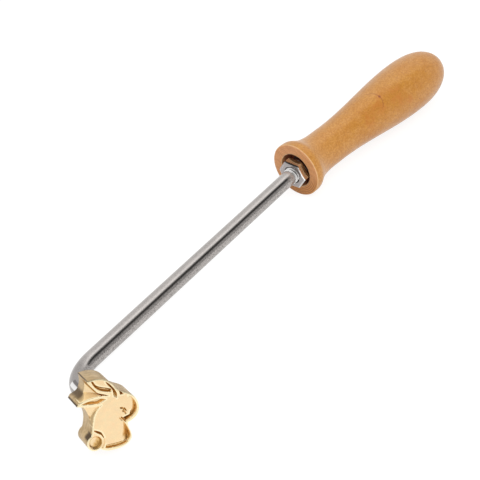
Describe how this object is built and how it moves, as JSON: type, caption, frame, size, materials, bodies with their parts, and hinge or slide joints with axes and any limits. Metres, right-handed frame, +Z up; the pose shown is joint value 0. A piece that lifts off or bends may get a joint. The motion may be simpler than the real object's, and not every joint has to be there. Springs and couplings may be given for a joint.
{
  "type": "hand stamp",
  "caption": "Hand stamp with a thick brass rabbit die screwed on the bent end of a steel rod, held by a lock nut in a turned wooden handle.",
  "frame": {"origin": "centre of the bounding box on the table it lies on", "axes": "+X along the handle from the die's end to the handle's rounded end, +Z up from the table, the die's stamping face towards -Y"},
  "size_m": [0.2814, 0.0648, 0.0311],
  "materials": {
    "handle_wood": "satin lacquer",
    "bush_steel": "dull, machined",
    "rod_steel": "satin, drawn",
    "nut_zinc": "bright zinc plate",
    "die_brass": "milled and polished"
  },
  "bodies": {
    "handle": {"wooden_handle": "handle_wood", "threaded_bush": "bush_steel"},
    "rod": {"rod": "rod_steel"},
    "lock_nut": {"lock_nut": "nut_zinc"},
    "stamp_head": {"stamp_head": "die_brass"}
  },
  "joints": [
    {"name": "rod_turn", "type": "hinge", "parent": "handle", "child": "rod", "pos_m": [0.02666, 0.01812, 0.01307], "axis": [0.996, 0.0552, 0.0697], "range_deg": [-180, 180]},
    {"name": "nut_turn", "type": "hinge", "parent": "rod", "child": "lock_nut", "pos_m": [0.02666, 0.01812, 0.01307], "axis": [0.996, 0.0552, 0.0697], "range_deg": [0, 720]},
    {"name": "head_turn", "type": "hinge", "parent": "rod", "child": "stamp_head", "pos_m": [-0.12771, -0.01818, 0.01265], "axis": [-0.2484, -0.9144, 0.3197], "continuous": true}
  ]
}
